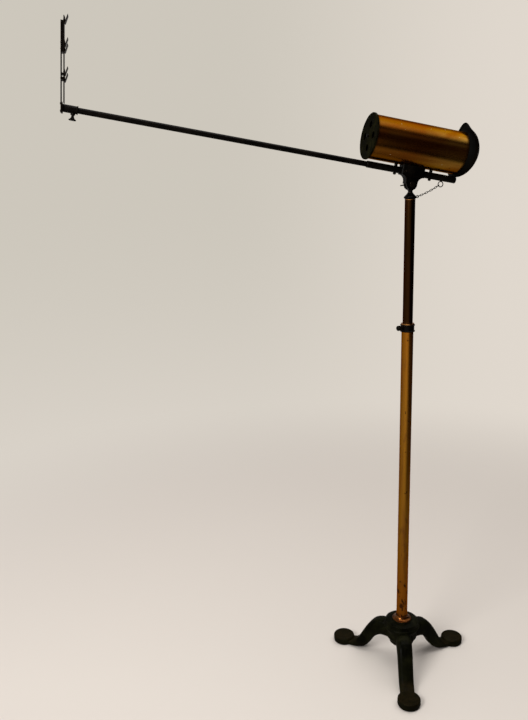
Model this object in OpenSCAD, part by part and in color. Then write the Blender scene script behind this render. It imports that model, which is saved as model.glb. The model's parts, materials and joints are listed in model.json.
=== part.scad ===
// Diploscope on a floor stand. Millimetres, +Z up, origin on the floor under the column.
// The target end of the arm points to -X, the eye end to +X.

/* [Base] */
// Distance from the column's axis to each foot's centre
foot_circle = 182; // [165:1:200]
// Foot diameter
foot_d = 60; // [52:1:64]
// Foot height
foot_h = 21; // [18:1:24]
// Leg width
leg_w = 42; // [34:1:46]
// Direction of the first leg, in degrees from +X
leg_turn = 13.6; // [0:0.1:119]
// Hub rim diameter
hub_d = 98; // [92:1:108]
// Height of the hub's top face
hub_top = 136; // [132:1:142]

/* [Column] */
// Outer column diameter
column_d = 30; // [29:0.5:32]
// Outer column wall
column_wall = 2; // [1.5:0.1:2]
// Height of the outer column's top end
column_top = 961; // [800:1:1000]
// Inner column diameter
mast_d = 25.4; // [25:0.1:25.4]
// Inner column wall
mast_wall = 1.5; // [1.2:0.1:2]
// Length of the inner column
mast_len = 724; // [600:1:800]
// Height of the inner column's top end, as it stands
mast_top = 1284; // [1000:1:1400]
// Direction of the column's thumb screw, in degrees from +X
clamp_turn = 202; // [150:1:250]

/* [Head] */
// Height of the tilt axis above the inner column's top end
pivot_rise = 36; // [34:1:40]
// Rise of the arm towards the target, in degrees
tilt = 10.75; // [5:0.05:15]
// Bead diameter
bead_d = 30.4; // [28:0.2:33]
// Knuckle radius
knuckle_r = 13.5; // [13:0.1:14]

/* [Arm] */
// Support bar diameter
bar_d = 15.9; // [15:0.1:16.4]
// Distance of the bar's axis from the tilt axis
bar_rise = 28.5; // [28:0.1:30]
// Reach of the bar in front of the tilt axis
bar_front = 120; // [110:1:130]
// Reach of the bar behind the tilt axis
bar_rear = 113; // [105:1:118]
// Target rod diameter
rod_d = 12.7; // [11:0.1:13]
// Distance of the target rod's end from the tilt axis
rod_reach = 819; // [600:1:1000]

/* [Sight tube] */
// Sight tube diameter
tube_d = 101.6; // [98:0.1:104]
// Sight tube wall
tube_wall = 1.5; // [1.2:0.1:2]
// Distance from the bar's axis to the tube's axis
tube_rise = 63.5; // [62:0.1:66]
// Reach of the tube in front of the tilt axis
tube_front = 122.8; // [112:0.2:126]
// Reach of the tube behind the tilt axis
tube_rear = 108.5; // [104:0.5:112]
// Diameter of the front ring and the aperture disc
cap_d = 108; // [106:0.5:112]
// Diameter of the aperture holes
aperture_d = 17; // [10:1:20]
// Distance of the aperture holes from the disc's centre
aperture_circle = 27; // [20:1:32]

/* [Eye hood] */
// Height of the hood's peak above the tube's axis
hood_top = 71.5; // [66:0.5:78]
// Half the hood's width at the temples
hood_side = 72; // [66:1:76]
// Reach of the temple wings behind the tilt axis
hood_back = 122.8; // [118:0.2:130]

/* [Target carrier] */
// Height of the card rack above the rod
rack_h = 182; // [175:1:195]
// Width of the card rack
rack_w = 27; // [24:1:32]
// Lean of the card rack towards the upright, in degrees
rack_lean = 5.5; // [0:0.5:8]

/* [Chain] */
// Pitch aimed at for the chain's links
link_pitch = 6.5; // [5.5:0.1:8]
// Chain wire diameter
link_wire = 1.3; // [1:0.1:1.4]

/* [Hidden] */
$fn = 64;

// Clearances: between pieces of one body, in a running fit, and between separate bodies
seat = 0.05;
run = 0.05;
gap = 0.3;

// Colours
iron = "#2f302a";
black = "#1d1b19";
dark_brass = "#4a2f1c";
brass = "#b98a4a";
copper = "#a8713a";
steel = "#8f8b84";

// Base
foot_r = foot_d / 2;
hub_r = hub_d / 2;
hub_bottom = 56;
socket_floor = 66;
leg_root_top = 117;
leg_root_bottom = 69;
ankle = 112;
bolt_r = 5;

// Column
column_r = column_d / 2;
column_bore = column_r - column_wall;
mast_r = mast_d / 2;
mast_bore = mast_r - mast_wall;
mast_foot = mast_top - mast_len;
collar_bottom = 957;
collar_top = 976;
collar_r = 17.5;
clamp_z = 969;
screw_r = 3;

// Head
pivot_z = mast_top + pivot_rise;
bead_r = bead_d / 2;
bead_z = mast_top + 1 + gap;
bead_mid = bead_z + 5.5;
bead_top = bead_z + 11;
neck_r = 5.6;
spindle_r = 5;
pivot_r = 4;
tongue_w = 6.8;
tongue_r = 12;
slot_w = tongue_w + 0.7;
slot_r = tongue_r + 2;
ears_w = 20;
staple_x = bead_r + 3.8;

// Arm, in the arm's own frame: x' towards the eye, z' up, origin on the tilt axis
bar_r = bar_d / 2;
rod_r = rod_d / 2;
rod_root = bar_front - 43;
tube_r = tube_d / 2;
tube_bore = tube_r - tube_wall;
tube_z = bar_rise + tube_rise;
saddle_front = -33;
saddle_rear = 27;
saddle_bottom = 19;
saddle_w = 26;
fillet_r = 14.5;
pin_x = -21;
standoff_x = [-46, 46];
standoff_r = 2;
set_screw_x = -bar_front + 8;
cap_r = cap_d / 2;
ring_bore = tube_bore - 2;
ring_face = -tube_front - 1.8;
ring_back = -tube_front + 10;
disc_back = ring_face - gap;
disc_front = disc_back - 2.5;
web_front = disc_front + 0.6;
web_back = web_front + 1.3;
skirt_r = ring_bore - run;
keeper_at = ring_back + gap;
eye_x = 77.7;
eye_r = 6.35;
eye_wire = 1.1;
staple_r = 2.8;
staple_wire = 0.9;
hook_gap = 0.2;
root_r = tube_bore + 0.3;
hood_turn = tube_r + 1.4;
hood_shell = 1.6;
hood_mean = 57.1;
hood_low = 56;
bead_wire = 1.7;
hood_face = tube_rear + seat;
hood_inside = hood_face + hood_shell;
lip_at = hood_inside + seat;
eye_z = bar_rise - bar_r - eye_r - eye_wire;

// Carrier and card rack, the rack's parts given by their height above the rod
carrier_front = rod_reach + 3.2;
sleeve_r = 8.2;
sleeve_len = 35.2;
sleeve_bead = 1.2;
carrier_screw_x = -797;
plate_t = 1.8;
rack_gap = 4;
front_mid = plate_t + rack_gap;
front_face = front_mid + plate_t / 2;
rack_foot = -11;
flange_t = 2;
back_top = rack_h - 9.6;
front_foot = sleeve_r + 1.2;
spacer_bars = [[54.8, 61], [66.2, 69.2], [110, back_top - 0.4]];
rack_screw_y = 10;
rack_screw_z = 7.4;
ledge_tips = [69.1, 82.3, 127.5, 139.6, rack_h + 2.8];
long_tips = [for (i = [0, 2, 3]) ledge_tips[i]];
short_tips = [for (i = [1, 4]) ledge_tips[i]];
ledge_w = rack_w - 2;
ledge_t = 1.1;
rivet_y = rack_w / 2 - 3.5;
rivet_drop = 10.8;

function arc(c, r, a0, a1, n) = [
    for (i = [0:n])
        let (a = a0 + (a1 - a0) * i / n)
        [c[0] + r * cos(a), c[1] + r * sin(a)]
];

function bezier(p, t) = pow(1 - t, 3) * p[0] + 3 * pow(1 - t, 2) * t * p[1]
    + 3 * (1 - t) * t * t * p[2] + pow(t, 3) * p[3];

function signed_power(v, e) = sign(v) * pow(abs(v), e);

// Side faces between rings of m points each
function band_faces(rings, m) = [
    for (i = [0:rings - 2], k = [0:m - 1], half = [0, 1])
        let (a = i * m + k, b = i * m + (k + 1) % m)
        half == 0 ? [a, a + m, b] : [b, a + m, b + m]
];

module revolve(points) {
    rotate_extrude() polygon(points);
}

module ring(r_out, r_in, h) {
    difference() {
        cylinder(r = r_out, h = h);
        translate([0, 0, -1]) cylinder(r = r_in, h = h + 2);
    }
}

// Places its children in the arm's own frame
module on_arm() {
    translate([0, 0, pivot_z]) rotate([0, tilt, 0]) children();
}

// Lays a solid that stands on Z along the arm, from x towards the eye, at height z
module along_arm(x, z) {
    translate([x, 0, z]) rotate([0, 90, 0]) children();
}

// Lays a solid that stands on Z across the arm, from y towards +Y
module across_arm(x, y, z) {
    translate([x, y, z]) rotate([-90, 0, 0]) children();
}

// Places its children on the sight tube's axis, where local Z points to the eye
module on_tube(x) {
    on_arm() along_arm(x, tube_z) children();
}

// Places its children on the card rack's back plate: X to the eye, Z up the rack
module on_rack() {
    on_arm() translate([-carrier_front, 0, bar_rise]) rotate([0, -rack_lean, 0]) children();
}

// Places its children on the column's thumb screw axis, local Z pointing outwards
module on_clamp(rho) {
    rotate([0, 0, clamp_turn]) translate([rho, 0, clamp_z]) rotate([0, 90, 0]) children();
}

// Places its children under the carrier, local Z pointing away from the rod
module on_carrier_screw(depth) {
    on_arm() translate([carrier_screw_x, 0, bar_rise - depth]) rotate([180, 0, 0]) children();
}

module cheese_head(r, h, slot) {
    difference() {
        revolve(concat([[0, 0], [r, 0]], arc([r - 0.6, h - 0.6], 0.6, 0, 90, 3), [[0, h]]));
        translate([-r - 1, -slot / 2, h * 0.55]) cube([2 * r + 2, slot, h]);
    }
}

module hexagon(across_flats, h) {
    cylinder(d = across_flats / cos(30), h = h, $fn = 6);
}

// A rim with shallow flutes for the fingers
module fluted(r, h, flutes) {
    difference() {
        union() {
            cylinder(r1 = r - 0.7, r2 = r, h = 0.7);
            translate([0, 0, 0.7]) cylinder(r = r, h = h - 1.4);
            translate([0, 0, h - 0.7]) cylinder(r1 = r, r2 = r - 0.7, h = 0.7);
        }
        for (i = [0:flutes - 1])
            rotate([0, 0, i * 360 / flutes])
                translate([r + 0.35, 0, -1])
                    cylinder(r = 0.8, h = h + 2, $fn = 16);
    }
}

// Base casting

function leg_top(t) = t < 0.5
    ? bezier([[36, leg_root_top], [78, leg_root_top + 4], [90, 104], [110, 71]], 2 * t)
    : bezier([[110, 71], [126, 45], [134, 16], [162, 15]], 2 * t - 1);

function leg_under(t) = t < 0.5
    ? bezier([[36, leg_root_bottom], [62, leg_root_bottom + 4], [76, 60], [88, 40]], 2 * t)
    : bezier([[88, 40], [ankle - 14, 23], [ankle - 6, 1], [162, 1]], 2 * t - 1);

module leg() {
    stations = 17;
    around = 20;
    roundness = 0.62;
    reach = foot_circle / 182;
    points = [
        for (i = [0:stations - 1], k = [0:around - 1])
            let (t = i / (stations - 1),
                 a = 360 * k / around,
                 top = leg_top(t),
                 under = leg_under(t),
                 middle = (top + under) / 2,
                 half = (top - under) / 2,
                 up = signed_power(sin(a), roundness),
                 side = signed_power(cos(a), roundness),
                 width = leg_w * (1 - 0.08 * t))
            [reach * (middle[0] + half[0] * up), side * width / 2, middle[1] + half[1] * up]
    ];
    ends = [[for (k = [0:around - 1]) k],
            [for (k = [0:around - 1]) stations * around - 1 - k]];
    polyhedron(points, concat(band_faces(stations, around), ends), convexity = 6);
}

module foot() {
    revolve(concat(
        [[0, 0]],
        arc([foot_r - 4.5, 3.5], 3.5, -90, -20, 4),
        [[foot_r, 7]],
        arc([foot_r - 5, foot_h - 5], 5, 0, 90, 6),
        [[foot_r - 8, foot_h - 0.8], [0, foot_h - 1.4]]
    ));
}

module hub() {
    revolve(concat(
        [[0, hub_bottom], [18, hub_bottom]],
        arc([18, hub_bottom + 3], 3, -90, 0, 3),
        [[21, hub_bottom + 7], [29, hub_bottom + 8]],
        arc([29, hub_bottom + 12.5], 4.5, -90, 0, 5),
        [[33.5, hub_bottom + 19], [38, hub_bottom + 22], [42, hub_bottom + 28]],
        [[42, hub_top - 34], [44, hub_top - 29]],
        arc([hub_r - 6, hub_top - 20], 6, -70, 60, 7),
        arc([27, hub_top - 38], 38, 62, 80, 4),
        [[27.5, hub_top - 1], [26.5, hub_top], [0, hub_top]]
    ));
}

module tripod_base() {
    color(iron)
    difference() {
        union() {
            hub();
            for (i = [0:2])
                rotate([0, 0, leg_turn + 120 * i]) {
                    leg();
                    translate([foot_circle, 0, 0]) foot();
                }
        }
        translate([0, 0, socket_floor]) cylinder(r = column_r + seat, h = hub_top);
        translate([0, 0, hub_bottom - 1]) cylinder(r = bolt_r + 0.2, h = 20);
        translate([0, 0, hub_bottom - 1]) cylinder(r = 12, h = 6);
    }
}

module base_flange() {
    color(brass)
    revolve(concat(
        [[column_r + seat, hub_top], [24.6, hub_top]],
        arc([24.6, hub_top + 1.4], 1.4, -90, 90, 6),
        [for (p = arc([26, hub_top + 13], 9.6, 263, 183, 7)) p],
        [[16.4, hub_top + 15], [column_r + seat, hub_top + 15]]
    ));
}

module base_washer() {
    color(steel)
    translate([0, 0, hub_bottom + 3.4]) ring(11, bolt_r + 0.3, 1.55);
}

module base_bolt() {
    color(steel)
    union() {
        translate([0, 0, hub_bottom - 3.2]) hexagon(16, 6.5);
        translate([0, 0, hub_bottom]) cylinder(r = bolt_r, h = 34);
    }
}

module column_plug() {
    color(brass)
    difference() {
        translate([0, 0, socket_floor]) cylinder(r = column_bore - seat, h = 28);
        translate([0, 0, socket_floor - 1]) cylinder(r = bolt_r + seat, h = 40);
    }
}

// Column

module outer_column() {
    color(copper)
    translate([0, 0, socket_floor]) ring(column_r, column_bore, column_top - socket_floor);
}

module slide_collar() {
    color(black)
    difference() {
        union() {
            revolve(concat(
                [[column_r - 1, collar_bottom]],
                arc([collar_r - 0.4, collar_bottom + 1.6], 1.6, -90, 60, 5),
                [[collar_r - 0.6, collar_bottom + 4.2], [collar_r - 0.6, collar_top - 4]],
                arc([collar_r - 1, collar_top - 2], 2, -50, 90, 5),
                [[column_r - 2, collar_top]]
            ));
            on_clamp(column_r - 1) cylinder(r = 5.6, h = 8);
        }
        translate([0, 0, collar_bottom - 1])
            cylinder(r = column_r + seat, h = column_top - collar_bottom + 1);
        translate([0, 0, collar_bottom]) cylinder(r = column_r - 0.5, h = 40);
        on_clamp(0) cylinder(r = screw_r + run, h = 40);
    }
}

module collar_bush() {
    color(brass)
    difference() {
        union() {
            translate([0, 0, column_top + 0.1])
                cylinder(r = column_r - 0.5 - seat, h = collar_top - column_top);
            translate([0, 0, collar_top + seat]) cylinder(r = collar_r - 0.8, h = 2.2);
        }
        translate([0, 0, column_top - 1]) cylinder(r = mast_r + run, h = 40);
        on_clamp(0) cylinder(r = screw_r + run, h = 40);
    }
}

module clamp_pad() {
    color(brass)
    on_clamp(mast_r + gap) cylinder(r = screw_r - 0.1, h = 1.9);
}

module clamp_screw() {
    color(brass)
    on_clamp(mast_r + 2 * gap + 1.9)
    union() {
        cylinder(r = screw_r, h = 9.5);
        translate([0, 0, 9]) cylinder(r1 = 4.2, r2 = 3.4, h = 3.4);
        translate([0, 0, 12]) fluted(6.6, 7, 18);
        translate([0, 0, 19]) cylinder(r1 = 4.4, r2 = 2.6, h = 1.6);
    }
}

module inner_column() {
    color(dark_brass)
    translate([0, 0, mast_foot]) ring(mast_r, mast_bore, mast_len);
}

module mast_guide() {
    color(brass)
    difference() {
        union() {
            translate([0, 0, mast_foot - 14]) cylinder(r = column_bore - run, h = 14 - seat);
            translate([0, 0, mast_foot - 1]) cylinder(r = mast_bore - seat, h = 19);
        }
        translate([0, 0, mast_foot - 15]) cylinder(r = 7, h = 40);
    }
}

// Head

module swivel_socket() {
    color(brass)
    translate([0, 0, mast_top - 56]) ring(mast_bore - seat, spindle_r + run, 56);
}

module swivel_washer() {
    color(brass)
    translate([0, 0, mast_top + 0.02]) ring(mast_r + 0.6, spindle_r + 0.1, 0.98);
}

module bead() {
    revolve(concat(
        [[0, bead_z], [bead_r - 3.4, bead_z]],
        arc([bead_r - 3.2, bead_mid - 1.2], 3.4, -78, 62, 8),
        arc([bead_r - 2.4, bead_top + 6], 6.2, 226, 190, 4),
        [[neck_r, bead_top + 1], [0, bead_top + 1]]
    ));
}

module swivel_post() {
    color(black)
    difference() {
        union() {
            translate([0, 0, mast_top - 56]) cylinder(r = spindle_r, h = 58);
            translate([0, 0, mast_top - 68]) cylinder(r = 4, h = 13);
            bead();
            translate([0, 0, bead_top - 1])
                cylinder(r = neck_r, h = pivot_z - knuckle_r - gap - bead_top + 1);
            across_arm(0, -tongue_w / 2, pivot_z)
                linear_extrude(tongue_w) {
                    circle(r = tongue_r);
                    translate([-neck_r, 0]) square([2 * neck_r, knuckle_r + 1.5]);
                }
        }
        across_arm(0, -tongue_w, pivot_z) cylinder(r = pivot_r + run, h = 2 * tongue_w);
        translate([bead_r - 7, 0, bead_mid]) rotate([0, 90, 0]) cylinder(r = 1.25, h = 9);
    }
}

module spindle_nut() {
    color(steel)
    translate([0, 0, mast_top - 66])
    difference() {
        hexagon(14, 10 - gap);
        translate([0, 0, -1]) cylinder(r = 4 + seat, h = 12);
    }
}

module torus(r, wire_r) {
    rotate_extrude() translate([r, 0]) circle(r = wire_r, $fn = 24);
}

module chain_staple() {
    color(steel)
    union() {
        translate([staple_x, 0, bead_mid]) rotate([90, 0, 0]) torus(staple_r, staple_wire);
        translate([bead_r - 6, 0, bead_mid])
            rotate([0, 90, 0])
                cylinder(r = 1.2, h = staple_x - staple_r - bead_r + 6);
    }
}

// Bracket and tilt clamp

module knuckle_outline() {
    left = saddle_front + 2;
    right = saddle_rear + 1;
    waist = 4.5;
    circle(r = knuckle_r);
    polygon([[left + fillet_r, waist], [-knuckle_r + 0.4, -3.2], [0, -3.2], [0, waist]]);
    difference() {
        translate([left, 0]) square([right - left, saddle_bottom + 1]);
        translate([left, waist]) circle(r = fillet_r);
        translate([right, waist]) circle(r = fillet_r);
        translate([left - 1, -1]) square([fillet_r + 1, waist + 1]);
        translate([right - fillet_r, -1]) square([fillet_r + 1, waist + 1]);
    }
}

module rounded_rect(size, r) {
    translate([r, 0]) square([size[0] - 2 * r, size[1]]);
    translate([0, r]) square([size[0], size[1] - 2 * r]);
    for (x = [r, size[0] - r], y = [r, size[1] - r])
        translate([x, y]) circle(r = r);
}

module saddle_bracket() {
    color(black)
    on_arm()
    difference() {
        union() {
            translate([0, ears_w / 2, 0])
                rotate([90, 0, 0])
                    linear_extrude(ears_w) knuckle_outline();
            translate([saddle_front, -saddle_w / 2, saddle_bottom])
                linear_extrude(27) rounded_rect([saddle_rear - saddle_front, saddle_w], 5);
        }
        along_arm(-100, tube_z) cylinder(r = tube_r + seat, h = 200);
        along_arm(-100, bar_rise) cylinder(r = bar_r + seat, h = 200);
        across_arm(0, -slot_w / 2, 0) cylinder(r = slot_r, h = slot_w);
        translate([-slot_r, -slot_w / 2, -30]) cube([2 * slot_r, slot_w, 30]);
        across_arm(0, -30, 0) cylinder(r = pivot_r + seat, h = 60);
        across_arm(pin_x, -30, bar_rise) cylinder(r = 2 + seat, h = 60);
    }
}

module saddle_pin() {
    color(steel)
    on_arm()
    across_arm(pin_x, -saddle_w / 2 - 0.6, bar_rise)
        revolve([[0, 0], [1.5, 0], [2, 0.5], [2, saddle_w + 0.7], [1.5, saddle_w + 1.2],
                 [0, saddle_w + 1.2]]);
}

module pivot_bolt() {
    color(steel)
    on_arm()
    union() {
        across_arm(0, -ears_w / 2 - 1, 0) cylinder(r = pivot_r, h = ears_w + 14.5);
        across_arm(0, -ears_w / 2 - seat, 0) mirror([0, 0, 1]) cheese_head(7.2, 4.6, 1.6);
    }
}

module wing() {
    rotate([90, 0, 0])
    translate([0, 0, -1.25])
    linear_extrude(2.5) {
        translate([13, 7.6]) circle(r = 5.4);
        polygon([[5, 0.6], [8.6, 1.6], [16.4, 4.4], [10, 11.2], [7, 8.6], [5, 7.6]]);
    }
}

module wing_nut() {
    color(steel)
    on_arm()
    across_arm(0, ears_w / 2 + gap, 0)
    difference() {
        union() {
            cylinder(r1 = 7.2, r2 = 5.6, h = 8.2);
            rotate([0, 0, -18]) wing();
            rotate([0, 0, 162]) wing();
        }
        translate([0, 0, -1]) cylinder(r = pivot_r + run, h = 16);
    }
}

// Bar and sight tube

module support_bar() {
    color(black)
    on_arm()
    difference() {
        union() {
            along_arm(-bar_front + 1.2, bar_rise)
                cylinder(r = bar_r, h = bar_front + bar_rear - 1.8);
            along_arm(-bar_front, bar_rise) cylinder(r1 = bar_r - 1, r2 = bar_r, h = 1.3);
            along_arm(bar_rear - 0.6, bar_rise) cylinder(r1 = bar_r, r2 = bar_r - 0.6, h = 0.6);
        }
        along_arm(-bar_front - 1, bar_rise) cylinder(r = rod_r + seat, h = bar_front - rod_root + 1);
        for (x = standoff_x)
            translate([x, 0, 0]) cylinder(r = standoff_r + seat, h = 60);
        across_arm(pin_x, -30, bar_rise) cylinder(r = 2 + seat, h = 60);
        translate([set_screw_x, 0, 0]) cylinder(r = 2.05, h = bar_rise);
        translate([eye_x, 0, 0]) cylinder(r = 1.5 + seat, h = bar_rise + 1.2);
    }
}

module tube_spacers() {
    color(brass)
    on_arm()
    for (x = standoff_x)
        difference() {
            translate([x, 0, bar_rise]) ring(4, standoff_r + seat, tube_rise - 40);
            along_arm(x - 10, bar_rise) cylinder(r = bar_r + 0.02, h = 20);
            along_arm(x - 10, tube_z) cylinder(r = tube_r + 0.02, h = 20);
        }
}

module tube_screws() {
    low = bar_rise - bar_r - 4.6;
    color(steel)
    on_arm()
    for (x = standoff_x)
        intersection() {
            union() {
                translate([x, 0, low]) cylinder(r = standoff_r, h = tube_z - tube_bore - low + 1);
                translate([x, 0, tube_z - tube_bore - 1]) cheese_head(4.2, 3.6, 1.2);
            }
            union() {
                along_arm(x - 10, tube_z) cylinder(r = tube_bore - 0.02, h = 20);
                translate([x, 0, low - 1]) cylinder(r = standoff_r, h = 60);
            }
        }
}

module tube_nuts() {
    color(steel)
    on_arm()
    for (x = standoff_x)
        translate([x, 0, bar_rise - bar_r - 3.62])
            difference() {
                hexagon(7, 3.6);
                translate([0, 0, -1]) cylinder(r = standoff_r + seat, h = 6);
            }
}

module sight_tube() {
    color(copper)
    difference() {
        on_tube(-tube_front) ring(tube_r, tube_bore, tube_front + tube_rear);
        on_arm()
            for (x = standoff_x)
                translate([x, 0, 0]) cylinder(r = standoff_r + seat, h = tube_z);
    }
}

module front_ring() {
    color(black)
    on_tube(0)
    revolve([
        [cap_r - 0.6, ring_face], [cap_r, ring_face + 0.6],
        [cap_r, -tube_front - 0.6], [cap_r - 0.6, -tube_front - seat],
        [tube_bore - seat, -tube_front - seat], [tube_bore - seat, ring_back],
        [ring_bore, ring_back], [ring_bore, ring_face]
    ]);
}

// The disc's skirt runs in the front ring and is held there by a spring ring
module aperture_disc() {
    color(black)
    on_tube(0)
    difference() {
        revolve([
            [0, web_front], [cap_r - 5, web_front], [cap_r - 4, disc_front],
            [cap_r - 0.8, disc_front], [cap_r, disc_front + 0.8], [cap_r, disc_back - 0.6],
            [cap_r - 0.6, disc_back], [skirt_r, disc_back],
            [skirt_r, keeper_at], [skirt_r - 0.7, keeper_at],
            [skirt_r - 0.7, keeper_at + 1.3], [skirt_r, keeper_at + 1.3],
            [skirt_r, keeper_at + 2.5], [skirt_r - 1.6, keeper_at + 2.5],
            [skirt_r - 1.6, web_back], [0, web_back]
        ]);
        for (a = [0:90:270])
            rotate([0, 0, a])
                translate([aperture_circle, 0, web_front - 5])
                    cylinder(r = aperture_d / 2, h = 12);
        translate([0, 0, web_front - 5]) cylinder(r = 1.6, h = 12);
    }
}

module disc_knob() {
    color(brass)
    on_tube(0)
    union() {
        translate([0, 0, web_front - seat]) mirror([0, 0, 1])
            revolve(concat([[0, 0], [4, 0], [4, 0.8], [2.6, 1.6], [2.6, 2.4]],
                           arc([2.6, 3.8], 1.4, -60, 90, 6), [[0, 5.2]]));
        translate([0, 0, web_front - 1]) cylinder(r = 1.55, h = web_back - web_front + 1.5);
        translate([0, 0, web_back + seat]) cylinder(r1 = 3, r2 = 2.2, h = 0.9);
    }
}

module keeper_ring() {
    color(steel)
    on_tube(keeper_at + seat)
    difference() {
        ring(ring_bore + 1.2, skirt_r - 0.65, 1.2);
        translate([0, -1.5, -1]) cube([cap_r, 3, 4]);
    }
}

module rear_ring() {
    color(black)
    on_tube(0)
    revolve([
        [tube_bore - 2.5, tube_rear - 9], [tube_bore - seat, tube_rear - 9],
        [tube_bore - seat, lip_at], [tube_r + 0.6, lip_at],
        [tube_r + 1, lip_at + 0.5], [tube_r + 1, lip_at + 1.6],
        [tube_r + 0.4, lip_at + 2.3], [tube_bore - 1.5, lip_at + 2.3],
        [tube_bore - 2.5, lip_at + 1.3]
    ]);
}

// Eye hood: a thin shell swept round the tube's axis, a is 0 at the top.
// Its root is held between the tube's end and the rear ring.

// The rim peaks at the top, is round at the sides and closes to the tube over the bar
function hood_rim_r(a) = hood_mean + (hood_top - hood_mean) * pow(max(0, cos(a)), 13)
    + (hood_side - hood_mean) * pow(sin(a), 2)
    - (hood_mean - hood_low) * pow(max(0, -cos(a)), 6);

function hood_rim_x(a) = hood_back - (cos(a) > 0 ? 11.5 : 13.4) * pow(abs(cos(a)), 1.7);

// The shell's outline in the plane of angle a, as radius and distance along the tube
function hood_section(a) =
    let (start = [hood_turn, hood_inside],
         rim = [hood_rim_r(a), hood_rim_x(a)],
         reach = norm(rim - start),
         along = (rim - start) / reach,
         out = [along[1], -along[0]],
         bow = 2.2 * min(1, reach / 12),
         steps = [for (t = [0.3, 0.65]) t * (1 - bead_wire / reach)])
    concat(
        [[root_r, hood_inside], start],
        [for (t = steps) start + (rim - start) * t - out * bow * 4 * t * (1 - t)],
        [for (b = [-100:50:150]) rim + out * 0.8 + bead_wire * (along * cos(b) + out * sin(b))],
        [for (i = [1, 0]) let (t = steps[i])
            start + (rim - start) * t - out * (bow * 4 * t * (1 - t) - hood_shell)],
        [[hood_turn - 0.5, hood_face], [root_r, hood_face]]
    );

module eye_hood() {
    around = 90;
    count = len(hood_section(0));
    points = [
        for (i = [0:around - 1])
            let (a = 360 * i / around)
            for (p = hood_section(a))
                [-p[0] * cos(a), p[0] * sin(a), p[1]]
    ];
    faces = [
        for (i = [0:around - 1], k = [0:count - 1], half = [0, 1])
            let (j = (i + 1) % around,
                 a = i * count + k, b = i * count + (k + 1) % count,
                 c = j * count + k, d = j * count + (k + 1) % count)
            half == 0 ? [a, b, c] : [b, d, c]
    ];
    color(black)
    difference() {
        on_tube(0) polyhedron(points, faces, convexity = 6);
        on_arm() along_arm(bar_rear - 30, bar_rise) cylinder(r = bar_r + gap, h = 60);
    }
}

// Tilt chain

module chain_eye() {
    color(steel)
    on_arm()
    translate([eye_x, 0, eye_z])
    union() {
        rotate([90, 0, 0]) torus(eye_r, eye_wire);
        translate([0, 0, eye_r]) cylinder(r = 1.5, h = 10);
        translate([0, 0, eye_r + eye_wire - 1.1]) cylinder(r = 2.6, h = 1.05);
    }
}

function arm_point(x, z) = [x * cos(tilt) + z * sin(tilt), pivot_z - x * sin(tilt) + z * cos(tilt)];

link_slack = 0.25;
link_bend = 1.7;
chain_sag = 2;
chain_hook = [staple_x, bead_mid];
chain_hang = arm_point(eye_x, eye_z);
chain_way = (chain_hang - chain_hook) / norm(chain_hang - chain_hook);
chain_from = chain_hook + chain_way * (staple_r - staple_wire - link_wire - hook_gap);
chain_to = chain_hang - chain_way * (eye_r - eye_wire - link_wire - hook_gap);
chain_len = norm(chain_to - chain_from);
links = floor((chain_len - link_slack - link_wire) / link_pitch + 0.5);
pitch = (chain_len - link_slack - link_wire) / links;
link_half = (pitch + link_slack + link_wire) / 2;

function chain_at(d) = let (t = d / chain_len)
    chain_from + chain_way * d + [chain_way[1], -chain_way[0]] * chain_sag * 4 * t * (1 - t);

module chain_link() {
    straight = link_half - link_bend;
    for (s = [0, 1]) {
        mirror([s, 0, 0])
            translate([straight, 0, 0])
                rotate([0, 0, -90])
                    rotate_extrude(angle = 180) translate([link_bend, 0]) circle(d = link_wire, $fn = 16);
        mirror([0, s, 0])
            translate([-straight, link_bend, 0])
                rotate([0, 90, 0]) cylinder(d = link_wire, h = 2 * straight, $fn = 16);
    }
}

module tilt_chain() {
    color(steel)
    for (i = [0:links - 1]) {
        middle = link_half + i * pitch;
        back = chain_at(middle - pitch / 2);
        ahead = chain_at(middle + pitch / 2);
        here = (back + ahead) / 2;
        rise = atan2(ahead[1] - back[1], ahead[0] - back[0]);
        translate([here[0], 0, here[1]])
            rotate([0, -rise, 0])
                rotate([i % 2 == 0 ? 0 : 90, 0, 0])
                    chain_link();
    }
}

// Target rod and carrier

module target_rod() {
    color(black)
    on_arm()
    along_arm(-rod_reach, bar_rise) ring(rod_r, rod_r - 1.2, rod_reach - rod_root - 1);
}

module rod_set_screw() {
    color(steel)
    on_arm()
    translate([set_screw_x, 0, bar_rise - bar_r + 0.15])
    difference() {
        cylinder(r = 2, h = bar_r - rod_r - 0.2);
        translate([-3, -0.4, -1]) cube([6, 0.8, 1.5]);
    }
}

module rod_plug() {
    color(brass)
    on_arm()
    along_arm(-rod_reach, bar_rise)
    union() {
        translate([0, 0, -seat])
            mirror([0, 0, 1])
                revolve([[0, 0], [rod_r - 0.1, 0], [rod_r - 0.1, 0.9], [rod_r - 1.6, 1.7], [0, 2]]);
        translate([0, 0, -1]) cylinder(r = rod_r - 1.2 - seat, h = 13);
    }
}

module rack_screw_places() {
    for (y = [-1, 1], z = [-1, 1])
        on_rack() translate([0, y * rack_screw_y, z * rack_screw_z]) rotate([0, 90, 0]) children();
}

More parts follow.
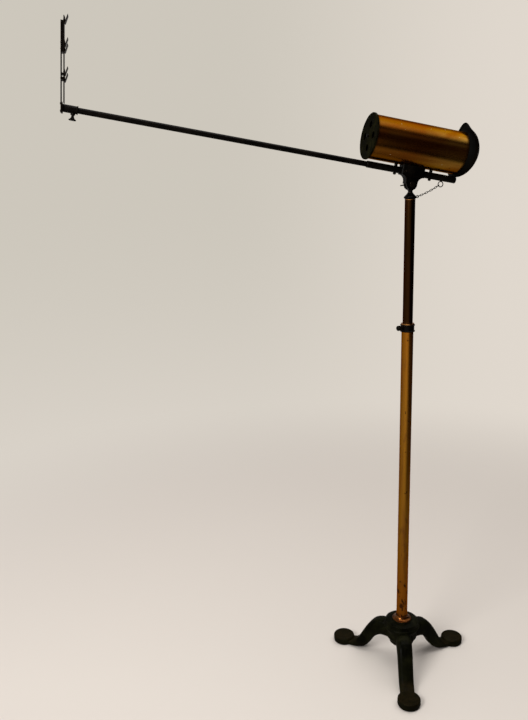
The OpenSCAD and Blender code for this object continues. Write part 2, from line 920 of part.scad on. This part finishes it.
module carrier_sleeve() {
    color(black)
    difference() {
        union() {
            on_arm() along_arm(-carrier_front + 2, bar_rise) cylinder(r = sleeve_r, h = sleeve_len - 2);
            on_arm() along_arm(-carrier_front + sleeve_len - 2.4, bar_rise)
                revolve(concat([[0, 0], [sleeve_r, 0]],
                               arc([sleeve_r, sleeve_bead], sleeve_bead, -70, 70, 6),
                               [[sleeve_r, 2.4], [0, 2.4]]));
            on_rack() translate([plate_t / 2 + seat, -rack_w / 2, rack_foot])
                rotate([90, 0, 90]) linear_extrude(flange_t) rounded_rect([rack_w, -2 * rack_foot], 3);
            on_carrier_screw(sleeve_r - 1) cylinder(r = 5, h = 4);
        }
        on_arm() along_arm(-carrier_front - 10, bar_rise) cylinder(r = rod_r + run, h = 60);
        on_carrier_screw(0) cylinder(r = screw_r + run, h = 20);
        rack_screw_places() cylinder(r = 1.55, h = 8);
    }
}

module carrier_pad() {
    color(brass)
    on_carrier_screw(rod_r + gap) cylinder(r = screw_r - 0.1, h = 1.6);
}

module carrier_screw() {
    color(brass)
    on_carrier_screw(rod_r + 2 * gap + 1.6)
    union() {
        cylinder(r = screw_r, h = 6.5);
        translate([0, 0, 6]) cylinder(r1 = 3.4, r2 = 3, h = 1.2);
        translate([0, 0, 7]) cylinder(r1 = 3, r2 = 6.2, h = 4.4);
        translate([0, 0, 11.2]) fluted(7.9, 3, 22);
    }
}

// A plate of the rack, its middle at x, from height low to height high
module rack_plate(x, low, high) {
    translate([x - plate_t / 2, -rack_w / 2, low])
        rotate([90, 0, 90])
            linear_extrude(plate_t) rounded_rect([rack_w, high - low], 2);
}

module rack_back() {
    color(black)
    difference() {
        on_rack() rack_plate(0, rack_foot, back_top);
        on_arm() along_arm(-carrier_front - 10, bar_rise) cylinder(r = rod_r + 0.5, h = 30);
        rack_screw_places() translate([0, 0, -3]) cylinder(r = 1.55, h = 8);
        rivet_places(long_tips) cylinder(r = 0.85, h = 20, center = true);
    }
}

module rack_front() {
    color(black)
    difference() {
        on_rack() rack_plate(front_mid, front_foot, rack_h);
        rivet_places(ledge_tips) cylinder(r = 0.85, h = 20, center = true);
    }
}

module rack_spacers() {
    color(black)
    difference() {
        for (bar = spacer_bars)
            on_rack()
                translate([plate_t / 2 + seat, -rack_w / 2 + 0.5, bar[0]])
                    cube([rack_gap - 2 * seat, rack_w - 1, bar[1] - bar[0]]);
        rivet_places(long_tips) cylinder(r = 0.85, h = 20, center = true);
    }
}

module rack_screws() {
    color(steel)
    rack_screw_places()
        translate([0, 0, plate_t / 2 + flange_t + 0.2]) mirror([0, 0, 1]) {
            cylinder(r = 1.5, h = plate_t + flange_t + 0.6);
            translate([0, 0, plate_t + flange_t + 0.2 + seat]) cheese_head(2.3, 1.1, 0.6);
        }
}

// A strip folded to a V: one leg flat on the plate, the other a lip that rises to the eye
module ledge() {
    rotate([90, 0, 0])
    translate([front_face + seat, 0, -ledge_w / 2])
    linear_extrude(ledge_w)
    polygon([
        [0, -5.2], [0, -16.2], [0.5, -16.8], [1.5, -16.8], [2.1, -16.3],
        [7.4, -0.9], [7.2, 0], [6.4, -0.2],
        [ledge_t + 0.15, -14.6], [ledge_t, -14.2], [ledge_t, -5.2]
    ]);
}

// Places its children on the rivets of the ledges with these tips, local Z to the eye
module rivet_places(tips) {
    for (tip = tips, y = [-1, 1])
        on_rack() translate([0, y * rivet_y, tip - rivet_drop]) rotate([0, 90, 0]) children();
}

module card_ledges() {
    color(dark_brass)
    difference() {
        for (tip = ledge_tips)
            on_rack() translate([0, 0, tip]) ledge();
        rivet_places(ledge_tips) cylinder(r = 0.85, h = 20, center = true);
    }
}

// A rivet from the face at x to the ledge's leg
module rivet(x) {
    top = front_face + seat + ledge_t;
    translate([0, 0, x - 0.6]) cylinder(r1 = 0.9, r2 = 1.5, h = 0.55);
    translate([0, 0, x - 0.3]) cylinder(r = 0.8, h = top - x + 0.6);
    translate([0, 0, top + 0.05]) cylinder(r1 = 1.5, r2 = 0.9, h = 0.6);
}

module ledge_rivets() {
    color(brass) {
        rivet_places(long_tips) rivet(-plate_t / 2);
        rivet_places(short_tips) rivet(front_mid - plate_t / 2);
    }
}

tripod_base();
base_flange();
base_washer();
base_bolt();
column_plug();
outer_column();
slide_collar();
collar_bush();
clamp_pad();
clamp_screw();
inner_column();
mast_guide();
swivel_socket();
swivel_washer();
swivel_post();
spindle_nut();
chain_staple();
saddle_bracket();
saddle_pin();
pivot_bolt();
wing_nut();
support_bar();
tube_spacers();
tube_screws();
tube_nuts();
sight_tube();
front_ring();
aperture_disc();
disc_knob();
keeper_ring();
rear_ring();
eye_hood();
chain_eye();
tilt_chain();
target_rod();
rod_set_screw();
rod_plug();
carrier_sleeve();
carrier_pad();
carrier_screw();
rack_back();
rack_front();
rack_spacers();
rack_screws();
card_ledges();
ledge_rivets();
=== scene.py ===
import json
import math

import bmesh
import bpy
from mathutils import Matrix, Vector


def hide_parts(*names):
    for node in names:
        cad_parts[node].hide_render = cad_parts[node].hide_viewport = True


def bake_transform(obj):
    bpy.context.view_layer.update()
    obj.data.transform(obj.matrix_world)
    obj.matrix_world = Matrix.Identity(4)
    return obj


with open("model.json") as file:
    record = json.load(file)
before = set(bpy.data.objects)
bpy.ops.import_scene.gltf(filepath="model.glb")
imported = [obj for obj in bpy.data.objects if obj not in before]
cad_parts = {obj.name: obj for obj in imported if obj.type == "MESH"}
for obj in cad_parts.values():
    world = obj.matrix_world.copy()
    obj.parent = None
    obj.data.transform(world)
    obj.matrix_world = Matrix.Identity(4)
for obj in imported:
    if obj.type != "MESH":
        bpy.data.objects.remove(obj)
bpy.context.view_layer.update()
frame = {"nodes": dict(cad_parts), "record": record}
nodes = frame["nodes"]
scene = bpy.context.scene

# Lengths are in metres in the CAD's frame, angles in degrees, colours linear

PIVOT = Vector((0.0, 0.0, 1.320))  # on the tilt axis, which runs along Y
TILT = math.radians(10.75)
TUBE_RISE = 0.092  # the sight tube's axis above the pivot, square to the arm
BORE_EDGE, BORE_BLUR = 0.0501, 0.00005  # radius in the tube's wall where the bore's black starts
FRONT_RIM_SHADE, EYE_RIM_SHADE = (-0.117, -0.1225), (0.100, 0.108)  # along the arm, from unshaded to dark: painted shade on the tube beside the cap and the hood
MAST_WEAR = (0.985, 0.975)  # heights on the mast, from whole to worn, just above the collar
FOOT_WEAR = (0.050, 0.016)  # heights on the base, from whole to worn
EDGE_COSINES = (0.985, 0.80)  # of the turn from a piece's normal to a rounded one, flat to rubbed

# Camera, as solved from the photograph

CAMERA_PLACE = (-0.7347, -1.6804, 1.3306)
CAMERA_AZIMUTH, CAMERA_PITCH, CAMERA_ROLL = 77.913, 13.695, 1.618
CAMERA_LENS, CAMERA_SENSOR = 36.082, 36.0  # millimetres
CAMERA_CLIP = (0.05, 200.0)


def make_camera():
    azimuth, pitch, roll = map(math.radians, (CAMERA_AZIMUTH, CAMERA_PITCH, CAMERA_ROLL))
    flat = math.cos(pitch)
    forward = Vector((math.cos(azimuth) * flat, math.sin(azimuth) * flat, -math.sin(pitch)))
    level = Vector((math.sin(azimuth), -math.cos(azimuth), 0.0))
    up = level.cross(forward)
    right = level * math.cos(roll) - up * math.sin(roll)
    top = right.cross(forward)
    data = bpy.data.cameras.new("camera")
    data.sensor_fit = "AUTO"
    data.sensor_width = CAMERA_SENSOR
    data.lens = CAMERA_LENS
    data.clip_start, data.clip_end = CAMERA_CLIP
    camera = bpy.data.objects.new("camera", data)
    scene.collection.objects.link(camera)
    turn = Matrix((right, top, -forward)).transposed()
    camera.matrix_world = Matrix.Translation(CAMERA_PLACE) @ turn.to_4x4()
    scene.camera = camera


# Nodes in short form

class Nodes:
    """Short calls for the nodes that the materials, the floor and the room are made of."""

    def __init__(self, tree):
        self.tree = tree

    def make(self, kind, **settings):
        made = self.tree.nodes.new(kind)
        for key, value in settings.items():
            setattr(made, key, value)
        return made

    def put(self, value, socket):
        """Links an output or sets a plain value; a plain colour gets its alpha."""
        if isinstance(value, bpy.types.NodeSocket):
            self.tree.links.new(value, socket)
        elif isinstance(value, tuple) and len(value) == 3 and socket.type == "RGBA":
            socket.default_value = (*value, 1.0)
        else:
            socket.default_value = value

    def wired(self, kind, *sources, **settings):
        """A node whose first inputs take the sources in order."""
        made = self.make(kind, **settings)
        for source, socket in zip(sources, made.inputs):
            self.put(source, socket)
        return made

    def vector(self, operation, *sources):
        return self.wired("ShaderNodeVectorMath", *sources, operation=operation)

    def dot(self, a, b):
        return self.vector("DOT_PRODUCT", a, b).outputs["Value"]

    def length(self, a):
        return self.vector("LENGTH", a).outputs["Value"]

    def number(self, operation, a, b):
        return self.wired("ShaderNodeMath", a, b, operation=operation).outputs[0]

    def times(self, a, b):
        return self.number("MULTIPLY", a, b)

    def plus(self, a, b):
        return self.number("ADD", a, b)

    def larger(self, a, b):
        return self.number("MAXIMUM", a, b)

    def part(self, place, axis):
        return self.wired("ShaderNodeSeparateXYZ", place).outputs[axis]

    def step(self, value, low, high, to_low=0.0, to_high=1.0):
        """Eases from to_low to to_high as the value goes from low to high, either way round."""
        made = self.wired("ShaderNodeMapRange", value, interpolation_type="SMOOTHSTEP")
        limits = {"From Min": low, "From Max": high, "To Min": to_low, "To Max": to_high}
        for key, limit in limits.items():
            made.inputs[key].default_value = limit
        return made.outputs["Result"]

    def blend(self, amount, a, b):
        """Colour a where the amount is 0, colour b where it is 1."""
        made = self.wired("ShaderNodeMix", amount, data_type="RGBA")
        for colour, socket in ((a, made.inputs[6]), (b, made.inputs[7])):
            self.put(colour, socket)
        return made.outputs[2]

    def layers(self, colour, *coats):
        """Lays coats of (amount, colour) over a first colour, each over the ones before."""
        for amount, coat in coats:
            colour = self.blend(amount, colour, coat)
        return colour

    def either(self, amount, a, b):
        """Shader a where the amount is 0, shader b where it is 1."""
        return self.wired("ShaderNodeMixShader", amount, a, b).outputs[0]


class Paint(Nodes):
    """A Principled material built from noise on the object's own coordinates."""

    def __init__(self, name, metallic=0.0, **sockets):
        self.material = bpy.data.materials.new(name)
        self.material.use_nodes = True
        super().__init__(self.material.node_tree)
        self.bsdf = self.tree.nodes["Principled BSDF"]
        self.bsdf.inputs["Metallic"].default_value = metallic
        for key, value in sockets.items():
            self.bsdf.inputs[key.replace("_", " ")].default_value = value
        self.place = self.make("ShaderNodeTexCoord").outputs["Object"]

    def along_arm(self):
        """Coordinates square to the arm: X towards the eye, Z away from the bar."""
        turned = self.wired("ShaderNodeMapping", self.place, vector_type="TEXTURE")
        turned.inputs["Location"].default_value = PIVOT
        turned.inputs["Rotation"].default_value = (0.0, TILT, 0.0)
        return turned.outputs[0]

    def normal(self):
        return self.make("ShaderNodeNewGeometry").outputs["Normal"]

    def mapped(self, place, scale=(1.0, 1.0, 1.0), shift=(0.0, 0.0, 0.0)):
        """Coordinates stretched for streaks, and shifted so that no two noises are alike."""
        made = self.wired("ShaderNodeMapping", place)
        made.inputs["Scale"].default_value = scale
        made.inputs["Location"].default_value = shift
        return made.outputs[0]

    def noise(self, place, scale=1.0, detail=4.0, rough=0.6, warp=0.0):
        made = self.wired("ShaderNodeTexNoise", place)
        settings = {"Scale": scale, "Detail": detail, "Roughness": rough, "Distortion": warp}
        for key, value in settings.items():
            made.inputs[key].default_value = value
        return made.outputs["Fac"]

    def ramp(self, value, *stops):
        made = self.wired("ShaderNodeValToRGB", value)
        line = made.color_ramp.elements
        while len(line) < len(stops):
            line.new(0.5)
        for element, (at, colour) in zip(line, stops):
            element.position = at
            element.color = (*colour, 1.0)
        return made.outputs[0]

    def edges(self, radius, keep):
        """Up to keep on edges that rub bare, 0 on flats."""
        soft = self.make("ShaderNodeBevel", samples=6)
        soft.inputs["Radius"].default_value = radius
        rubbed = self.step(self.dot(soft.outputs[0], self.normal()), *EDGE_COSINES)
        return self.times(rubbed, keep)

    def build(self, colour, rough, height, depth, metal=None, strength=0.3):
        """Fills in the material, with a bump made from the height and up to depth deep."""
        bump = self.make("ShaderNodeBump")
        bump.inputs["Strength"].default_value = strength
        bump.inputs["Distance"].default_value = depth
        self.put(height, bump.inputs["Height"])
        self.put(bump.outputs[0], self.bsdf.inputs["Normal"])
        self.put(colour, self.bsdf.inputs["Base Color"])
        self.put(rough, self.bsdf.inputs["Roughness"])
        if metal is not None:
            self.put(metal, self.bsdf.inputs["Metallic"])
        return self.material


def scaled(colour, factor):
    return tuple(factor * channel for channel in colour)


# Materials

def sight_copper():
    """Copper with a painted highlight, lighter and more golden towards the eye, ruddy in clouds,
    with painted shade at both rims, dark in the bore.
    """
    p = Paint("sight_copper", metallic=1.0, Specular_Tint=(0.60, 0.38, 0.14, 1.0))
    front_tone, eye_sheen_tone = (0.200, 0.078, 0.010), (0.385, 0.205, 0.034)
    ruddy_tone, dull_tone = (0.205, 0.055, 0.005), (0.120, 0.038, 0.004)
    spot_tone, chip_tone = (0.040, 0.014, 0.005), (0.70, 0.62, 0.42)
    rim_shade_tone, bore_tone = (0.040, 0.016, 0.006), (0.006, 0.0055, 0.005)

    arm = p.along_arm()
    along = p.part(arm, "X")
    streak = p.noise(p.mapped(arm, (5.0, 34.0, 34.0)), detail=6.0, warp=0.4)
    cloud = p.noise(p.mapped(arm, (9.0, 16.0, 16.0), (3.1, 0.7, 5.2)), detail=5.0, warp=0.6)
    brush = p.noise(p.mapped(arm, (40.0, 900.0, 900.0)), detail=3.0, rough=0.5)
    grain = p.noise(p.mapped(arm, shift=(9.0, 2.0, 4.0)), 120.0, detail=2.0, rough=0.5)
    flecks = p.noise(p.mapped(arm, shift=(1.0, 7.0, 8.0)), 210.0, detail=1.0, rough=0.4)
    rim_shade = p.larger(p.step(along, *FRONT_RIM_SHADE), p.step(along, *EYE_RIM_SHADE))
    radius = p.length(p.mapped(arm, (0.0, 1.0, 1.0), (0.0, 0.0, -TUBE_RISE)))
    bore = p.step(radius, BORE_EDGE + BORE_BLUR, BORE_EDGE - BORE_BLUR)

    colour = p.layers(
        # painted highlight: the copper turns lighter and more golden towards the eye, where the
        # reflection is brighter
        p.blend(p.step(along, -0.02, 0.10), front_tone, eye_sheen_tone),
        (p.step(cloud, 0.42, 0.66, 0.0, 0.8), ruddy_tone),
        (p.step(streak, 0.50, 0.72, 0.0, 0.6), dull_tone),
        (p.times(p.step(grain, 0.70, 0.75), 0.7), spot_tone),
        (p.step(flecks, 0.790, 0.800), chip_tone),
        # painted shade where the tube meets the cap and the hood
        (p.times(rim_shade, 0.6), rim_shade_tone),
        (bore, bore_tone),
    )
    rough = p.plus(p.step(streak, 0.35, 0.75, 0.19, 0.31), p.times(bore, 0.4))
    metal = p.number("SUBTRACT", 1.0, bore)
    height = p.plus(cloud, p.times(brush, 0.05))
    return p.build(colour, rough, height, depth=0.0007, metal=metal)


def column_copper():
    """Copper in long streaks and patches, with dark spots that grow denser towards the floor."""
    p = Paint("column_copper", metallic=1.0, Specular_Tint=(0.85, 0.46, 0.14, 1.0))
    rubbed_tone, patch_tone = (0.180, 0.062, 0.014), (0.130, 0.048, 0.014)
    spot_tone = (0.024, 0.008, 0.004)

    high = p.part(p.place, "Z")
    streak = p.noise(p.mapped(p.place, (90.0, 90.0, 5.0)), detail=6.0, rough=0.62, warp=0.3)
    cloud = p.noise(p.mapped(p.place, (30.0, 30.0, 9.0), (0.0, 0.0, 2.3)), detail=5.0, warp=0.8)
    grain = p.noise(p.mapped(p.place, (1.0, 1.0, 0.55)), 95.0, detail=3.0)
    rings = p.noise(p.mapped(p.place, (6.0, 6.0, 260.0)), detail=3.0)
    spots = p.step(p.plus(grain, p.step(high, 0.42, 0.08, 0.0, 0.15)), 0.66, 0.72)
    by_height = p.ramp(
        high,
        (0.07, (0.300, 0.094, 0.010)),
        (0.24, (0.290, 0.101, 0.009)),
        (0.40, (0.320, 0.145, 0.014)),
        (0.72, (0.310, 0.130, 0.012)),
        (0.95, (0.290, 0.104, 0.008)),
    )

    colour = p.layers(
        by_height,
        (p.step(streak, 0.50, 0.68, 0.0, 0.6), rubbed_tone),
        (p.step(cloud, 0.55, 0.70, 0.0, 0.7), patch_tone),
        (p.times(spots, 0.85), spot_tone),
    )
    rough = p.step(streak, 0.35, 0.70, 0.30, 0.46)
    return p.build(colour, rough, p.plus(cloud, p.times(rings, 0.06)), depth=0.0006)


def mast_bronze():
    """Dark bronze, streaked lengthwise, rubbed lighter where it slides in the collar."""
    p = Paint("mast_bronze", metallic=1.0, Specular_Tint=(0.60, 0.32, 0.12, 1.0))
    dark_tone, brown_tone = (0.018, 0.0078, 0.0019), (0.026, 0.0092, 0.0026)
    streak_tone, spot_tone = (0.043, 0.0175, 0.0044), (0.006, 0.004, 0.002)
    worn_tone = (0.12, 0.055, 0.018)

    stretched = p.mapped(p.place, (110.0, 110.0, 4.0), (4.0, 1.0, 0.0))
    streak = p.noise(stretched, detail=6.0, warp=0.3)
    cloud = p.noise(p.mapped(p.place, (30.0, 30.0, 8.0), (7.0, 2.0, 1.0)), detail=5.0, warp=0.6)
    spots = p.step(p.noise(p.place, 110.0, detail=3.0), 0.66, 0.72)
    wear = p.step(p.part(p.place, "Z"), *MAST_WEAR, 0.0, 0.35)

    colour = p.layers(
        p.blend(p.step(cloud, 0.40, 0.68), dark_tone, brown_tone),
        (p.step(streak, 0.56, 0.72, 0.0, 0.7), streak_tone),
        (p.times(spots, 0.7), spot_tone),
        (wear, worn_tone),
    )
    rough = p.step(streak, 0.35, 0.70, 0.30, 0.46)
    return p.build(colour, rough, cloud, depth=0.0006)


def black_lacquer(name, tint, bare, grain, gloss=(0.30, 0.50), shine=0.045):
    """Black stoving lacquer that has rubbed through to a brown metal on its edges."""
    p = Paint(name, Specular_IOR_Level=shine)
    cloud = p.noise(p.place, 26.0, detail=6.0, rough=0.62, warp=0.5)
    fine = p.noise(p.place, grain, detail=5.0, rough=0.62)
    flecks = p.noise(p.mapped(p.place, shift=(3.0, 5.0, 1.0)), 170.0, rough=0.65)
    chips = p.times(p.step(flecks, 0.665, 0.70), 0.8)
    rubbed = p.edges(0.0009, p.step(fine, 0.38, 0.62, 0.15, 1.0))
    bared = p.larger(rubbed, chips)

    body = p.ramp(cloud, (0.38, scaled(tint, 0.4)), (0.50, tint), (0.64, scaled(tint, 2.4)))
    colour = p.blend(bared, body, bare)
    rough = p.plus(p.step(cloud, 0.30, 0.72, *gloss), p.times(bared, 0.08))
    return p.build(colour, rough, fine, depth=0.00035, metal=p.times(bared, 0.85))


def base_iron():
    """Olive-black cast iron, worn brown on top of the feet, with dust where it faces up."""
    p = Paint("base_iron", Specular_IOR_Level=0.02)
    edge_tone, dust_tone = (0.036, 0.028, 0.015), (0.10, 0.088, 0.065)

    cloud = p.noise(p.place, 20.0, detail=6.0, rough=0.62, warp=0.6)
    fine = p.noise(p.place, 330.0, detail=6.0, rough=0.65)
    patches = p.noise(p.place, 60.0, detail=5.0, rough=0.65)
    up = p.part(p.normal(), "Z")
    low = p.step(p.part(p.place, "Z"), *FOOT_WEAR)
    trodden = p.step(p.times(low, p.step(up, 0.2, 0.9, 0.35, 1.0)), 0.1, 0.9)
    worn = p.times(trodden, p.step(patches, 0.34, 0.60, 0.35, 1.0))
    edge = p.edges(0.0012, p.step(fine, 0.40, 0.60, 0.1, 0.8))
    dust = p.times(p.step(up, 0.55, 1.0), p.step(cloud, 0.45, 0.7, 0.0, 0.02))
    body = p.ramp(
        cloud,
        (0.38, (0.0012, 0.0013, 0.0004)),
        (0.50, (0.0036, 0.0038, 0.0013)),
        (0.66, (0.0080, 0.0082, 0.0029)),
    )
    brown = p.ramp(fine, (0.40, (0.0055, 0.0040, 0.0014)), (0.62, (0.0125, 0.0088, 0.0030)))

    colour = p.layers(body, (worn, brown), (p.times(edge, 0.6), edge_tone), (dust, dust_tone))
    rough = p.plus(p.step(cloud, 0.32, 0.70, 0.33, 0.50), p.times(worn, 0.18))
    height = p.plus(p.times(cloud, 0.8), p.times(fine, 0.35))
    metal = p.times(edge, 0.5)
    return p.build(colour, rough, height, depth=0.0012, metal=metal, strength=0.45)


def plain_metal(name, light, dark, rough):
    """Bare metal gone dull: tarnish in clouds, brighter where it is handled."""
    p = Paint(name, metallic=1.0)
    cloud = p.noise(p.place, 70.0, detail=5.0, rough=0.62, warp=0.5)
    fine = p.noise(p.place, 630.0)
    edge = p.edges(0.0006, p.step(fine, 0.35, 0.6, 0.3, 1.0))
    body = p.blend(p.step(cloud, 0.38, 0.66), light, dark)
    colour = p.blend(p.times(edge, 0.7), body, scaled(light, 1.5))
    duller = p.step(cloud, 0.35, 0.70, rough, rough + 0.18)
    return p.build(colour, duller, fine, depth=0.0003, strength=0.25)


PAINTS = {
    "sight_copper": sight_copper(),
    "column_copper": column_copper(),
    "mast_bronze": mast_bronze(),
    "black_lacquer": black_lacquer(
        "black_lacquer", tint=(0.0016, 0.0011, 0.0007), bare=(0.034, 0.021, 0.010), grain=420.0,
    ),
    "hood_black": black_lacquer(
        "hood_black", tint=(0.0007, 0.0006, 0.0004), bare=(0.016, 0.010, 0.005), grain=380.0,
        gloss=(0.48, 0.66), shine=0.02,
    ),
    "olive_lacquer": black_lacquer(
        "olive_lacquer", tint=(0.0034, 0.0032, 0.0009), bare=(0.026, 0.018, 0.007), grain=300.0,
        gloss=(0.55, 0.75), shine=0.008,
    ),
    "base_iron": base_iron(),
    "flange_copper": plain_metal(
        "flange_copper", light=(0.180, 0.066, 0.016), dark=(0.070, 0.022, 0.006), rough=0.20,
    ),
    "brass": plain_metal(
        "brass", light=(0.42, 0.20, 0.055), dark=(0.22, 0.080, 0.022), rough=0.26,
    ),
    "steel": plain_metal(
        "steel", light=(0.022, 0.017, 0.012), dark=(0.008, 0.006, 0.004), rough=0.40,
    ),
}
# pieces whose paint isn't the one that the record's slot names
FINISH = {
    "aperture_disc": "olive_lacquer",
    "front_ring": "olive_lacquer",
    "slide_collar": "black_lacquer",
    "clamp_screw": "black_lacquer",
    "clamp_pad": "brass",
    "eye_hood": "hood_black",
    "base_flange": "flange_copper",
    "carrier_screw": "black_lacquer",
    "card_ledges": "black_lacquer",
    "ledge_rivets": "black_lacquer",
}


def paint_pieces():
    for entry in frame["record"]["subparts"]:
        materials = nodes[entry["node"]].data.materials
        materials.clear()
        materials.append(PAINTS[FINISH.get(entry["node"], entry["material_slot"])])


def hang_chain():
    """The chain, which hangs between the swivel post and the arm, is copied into a mesh of its own
    and the part it came from is hidden.
    """
    source = nodes["tilt_chain"]
    chain = bpy.data.objects.new("hanging_chain", source.data.copy())
    scene.collection.objects.link(chain)
    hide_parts("tilt_chain")
    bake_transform(chain)


# Floor, room and lamps

FLOOR_RADIUS, FLOOR_SEGMENTS = 60.0, 96
FLOOR_FADE = (0.9, 2.6)  # distances from the column, from floor to backdrop
FLOOR_TONE, NEARER_SHADE_TONE = (0.655, 0.616, 0.578), (0.575, 0.541, 0.510)
NEARER_WAY, NEARER_FADE = (-0.35, -0.94, 0.0), (0.15, 0.90)  # about towards the camera, where the paper is painted darker as shade
MIRRORED_TONE = (0.36, 0.325, 0.280)
DIMMER_WAY, DIMMER_FADE = (0.6, -0.8, 0.0), (0.65, 1.45)  # in front and to the right
HIGH_TONE = (0.610, 0.572, 0.503)
LOW_TONE, LOW_FADE = (0.790, 0.725, 0.665), (0.0, -0.70)
RIGHT_TONE, RIGHT_FADE = (0.745, 0.685, 0.615), (0.15, 0.55)
ROOM_TONE, ROOM_BASE = (1.0, 0.975, 0.94), 0.006
GLOOM_TONE, GLOOM_STRENGTH = (1.0, 0.18, 0.05), 0.014
ROOM_LOBES = (
    # towards, cosines at the rim and where it is full, strength
    ((0.35, 0.10, 1.0), (0.72, 0.96), 1.45),
    ((-0.95, -0.10, 0.10), (0.30, 0.90), 0.60),
    ((-0.36, -0.86, -0.30), (0.78, 0.97), 1.00),
    ((0.34, -0.80, 0.50), (0.972, 0.995), 0.18),
    ((-0.10, 1.0, 0.15), (0.30, 0.95), 0.40),
)
LAMP_TONE = (1.0, 0.97, 0.93)
LAMPS = (
    # name, place, aimed at, width, watts
    ("key", (-2.6, -1.9, 2.6), (0.0, 0.0, 0.8), 1.6, 95.0),
    ("top", (-0.1, -0.3, 3.4), (0.0, 0.0, 1.0), 1.8, 30.0),
)


def emptied(owner):
    """The node tree of a new material or world, with nothing in it."""
    owner.use_nodes = True
    owner.node_tree.nodes.clear()
    return Nodes(owner.node_tree)


def backdrop(n, way):
    """The paper behind the object by direction: dark high up, lighter low down and to the right."""
    lowness = n.step(n.part(way, "Z"), *LOW_FADE)
    rightness = n.step(n.part(way, "X"), *RIGHT_FADE)
    return n.layers(HIGH_TONE, (lowness, LOW_TONE), (rightness, RIGHT_TONE))


def make_floor():
    """A disc of paper round the object that gives way to the backdrop further out."""
    mesh = bpy.data.meshes.new("floor")
    shape = bmesh.new()
    bmesh.ops.create_circle(shape, cap_ends=True, radius=FLOOR_RADIUS, segments=FLOOR_SEGMENTS)
    shape.to_mesh(mesh)
    shape.free()
    floor = bpy.data.objects.new("floor", mesh)
    scene.collection.objects.link(floor)
    material = bpy.data.materials.new("floor")
    n = emptied(material)
    place = n.make("ShaderNodeTexCoord").outputs["Object"]
    ray = n.make("ShaderNodeLightPath").outputs

    # painted shade: the paper turns darker towards the camera
    nearer_shade = n.step(n.dot(place, NEARER_WAY), *NEARER_FADE)
    paper = n.blend(nearer_shade, FLOOR_TONE, NEARER_SHADE_TONE)

    # what metal mirrors of the floor grows dim in front of the object and to the right
    mirrored = n.vector("SCALE", MIRRORED_TONE)
    n.put(n.step(n.dot(place, DIMMER_WAY), *DIMMER_FADE, 1.0, 0.0), mirrored.inputs["Scale"])
    colour = n.blend(ray["Is Glossy Ray"], paper, mirrored.outputs[0])
    near = n.wired("ShaderNodeBsdfDiffuse", colour).outputs[0]

    # further out the camera sees the backdrop, and other rays pass through to the room
    offset = n.vector("SUBTRACT", place, CAMERA_PLACE).outputs[0]
    way = n.vector("NORMALIZE", offset).outputs[0]
    glow = n.wired("ShaderNodeEmission", backdrop(n, way)).outputs[0]
    clear = n.make("ShaderNodeBsdfTransparent").outputs[0]
    away = n.either(ray["Is Camera Ray"], clear, glow)
    both = n.either(n.step(n.length(place), *FLOOR_FADE), near, away)
    n.wired("ShaderNodeOutputMaterial", both)
    mesh.materials.append(material)


def make_room():
    """Pale overhead, to the left and behind, dark to the right, as the reflections show."""
    world = bpy.data.worlds.new("room")
    scene.world = world
    n = emptied(world)
    way = n.make("ShaderNodeTexCoord").outputs["Generated"]

    total = 0.0
    for axis, rim, strength in ROOM_LOBES:
        lobe = n.step(n.dot(way, Vector(axis).normalized()), *rim, 0.0, strength)
        total = n.larger(total, lobe)
    light = n.wired("ShaderNodeBackground", ROOM_TONE, n.plus(total, ROOM_BASE)).outputs[0]
    gloom = n.wired("ShaderNodeBackground", GLOOM_TONE, GLOOM_STRENGTH).outputs[0]
    lit = n.wired("ShaderNodeAddShader", light, gloom).outputs[0]

    seen = n.wired("ShaderNodeBackground", backdrop(n, way)).outputs[0]
    ray = n.make("ShaderNodeLightPath").outputs
    n.wired("ShaderNodeOutputWorld", n.either(ray["Is Camera Ray"], lit, seen))


def make_lamp(name, place, target, width, watts):
    data = bpy.data.lights.new(name, "AREA")
    data.shape = "DISK"
    data.size = width
    data.energy = watts
    data.color = LAMP_TONE
    lamp = bpy.data.objects.new(name, data)
    scene.collection.objects.link(lamp)
    place, target = Vector(place), Vector(target)
    turn = (target - place).to_track_quat("-Z", "Y").to_matrix()
    lamp.matrix_world = Matrix.Translation(place) @ turn.to_4x4()


paint_pieces()
hang_chain()
make_camera()
make_floor()
make_room()
for lamp_row in LAMPS:
    make_lamp(*lamp_row)
scene.view_settings.view_transform = "Standard"
